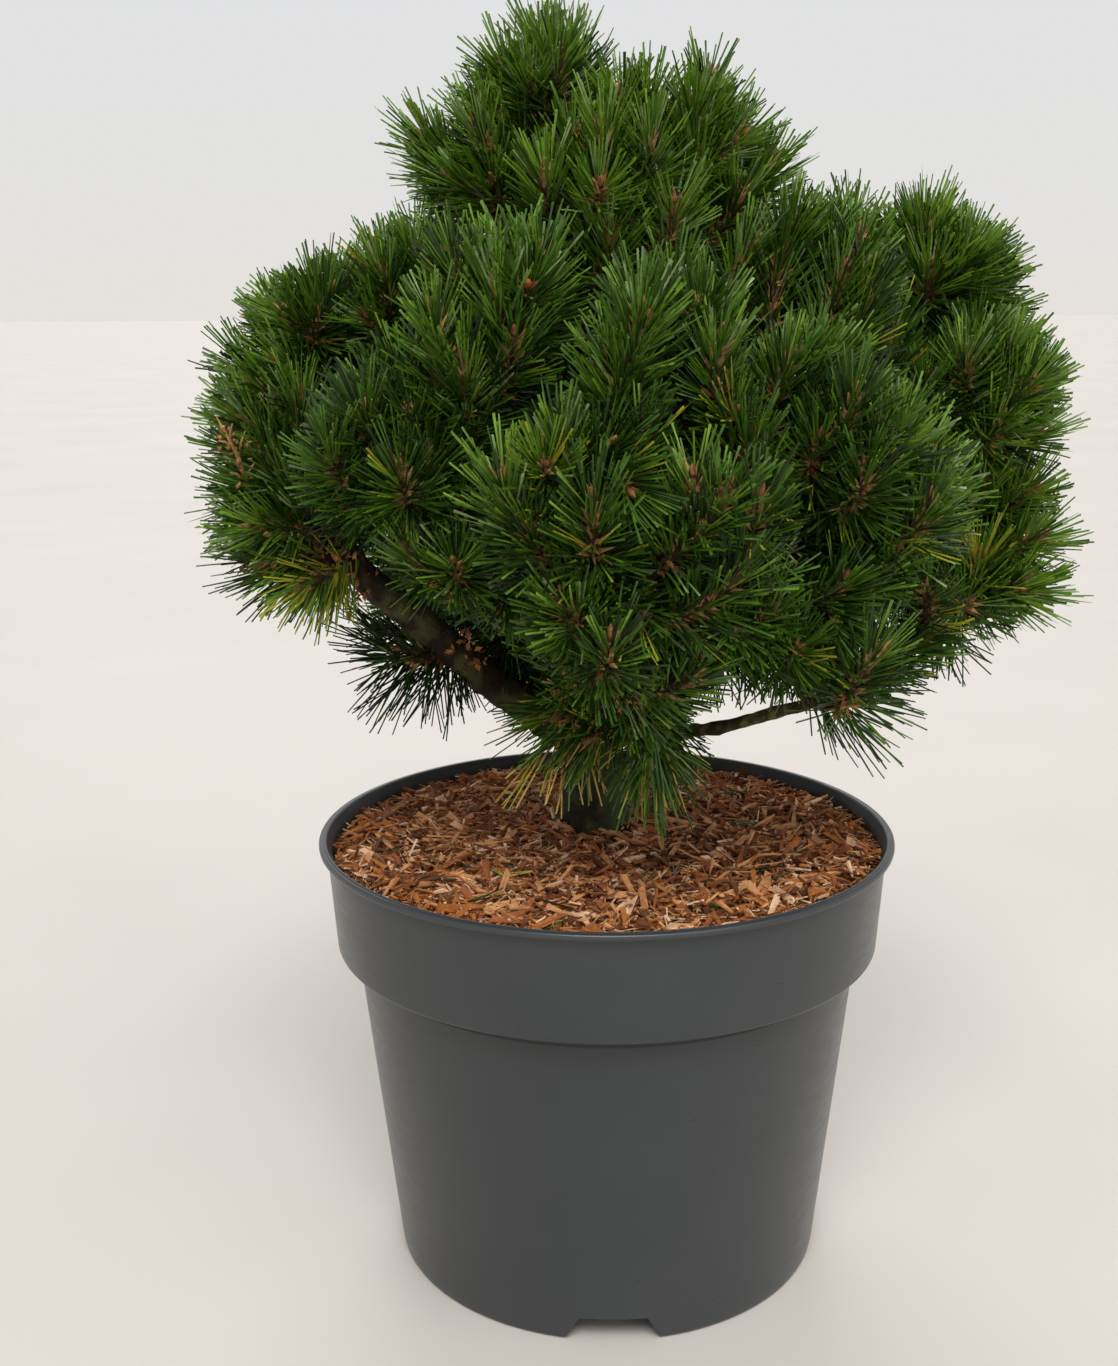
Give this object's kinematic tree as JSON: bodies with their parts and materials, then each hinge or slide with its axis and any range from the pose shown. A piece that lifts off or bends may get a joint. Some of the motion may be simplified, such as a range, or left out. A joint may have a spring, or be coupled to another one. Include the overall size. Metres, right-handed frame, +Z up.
{
  "type": "potted mugo pine",
  "caption": "Young dwarf mountain pine with a short flared trunk, spreading boughs and dense tufts of needles, growing in a round stepped nursery pot topped with wood mulch.",
  "frame": {"origin": "centre of the pot's flat underside, on the ground", "axes": "+Z up along the pot's axis; -Y towards the plant's front; +X to its right as seen from the front"},
  "size_m": [0.3997, 0.3618, 0.5733],
  "materials": {
    "pot_plastic": "satin",
    "growing_medium": "matte",
    "wood_mulch": "matte",
    "bark": "matte",
    "needles": "satin"
  },
  "bodies": {
    "root": {"pot_body": "pot_plastic", "pot_collar": "pot_plastic", "pot_floor": "pot_plastic", "root_ball": "growing_medium", "mulch": "wood_mulch", "trunk": "bark", "bough_left": "bark", "bough_right_low": "bark", "bough_right": "bark", "bough_right_upper": "bark", "bough_shoulder_right": "bark", "bough_shoulder_left": "bark", "bough_front": "bark", "bough_front_right": "bark", "bough_front_left": "bark", "bough_back": "bark", "bough_back_left": "bark", "bough_back_right": "bark", "mass_apex": "needles", "mass_crest_left": "needles", "mass_crest_front": "needles", "mass_crest_right": "needles", "mass_crest_back": "needles", "mass_shoulder_right_inner": "needles", "mass_shoulder_right": "needles", "mass_right_upper": "needles", "mass_heart_left": "needles", "mass_heart_right": "needles", "mass_shoulder_left": "needles", "mass_left_recess": "needles", "mass_left_outer": "needles", "mass_left_lower": "needles", "mass_front_left": "needles", "mass_front_middle": "needles", "mass_front_right": "needles", "mass_right_front": "needles", "mass_right_middle": "needles", "mass_right_outer": "needles", "mass_right_low": "needles", "mass_low_left": "needles", "mass_skirt_left": "needles", "mass_hanging_left": "needles", "mass_low_front": "needles", "mass_low_front_right": "needles", "mass_low_right": "needles", "mass_under_front": "needles", "mass_foot_tuft": "needles", "mass_hanging_right": "needles", "mass_back_shoulder_left": "needles", "mass_back_shoulder_right": "needles", "mass_back_heart": "needles", "mass_back_left": "needles", "mass_back_right": "needles", "mass_back_middle": "needles", "mass_back_low_left": "needles", "mass_back_low_right": "needles"}
  },
  "joints": []
}
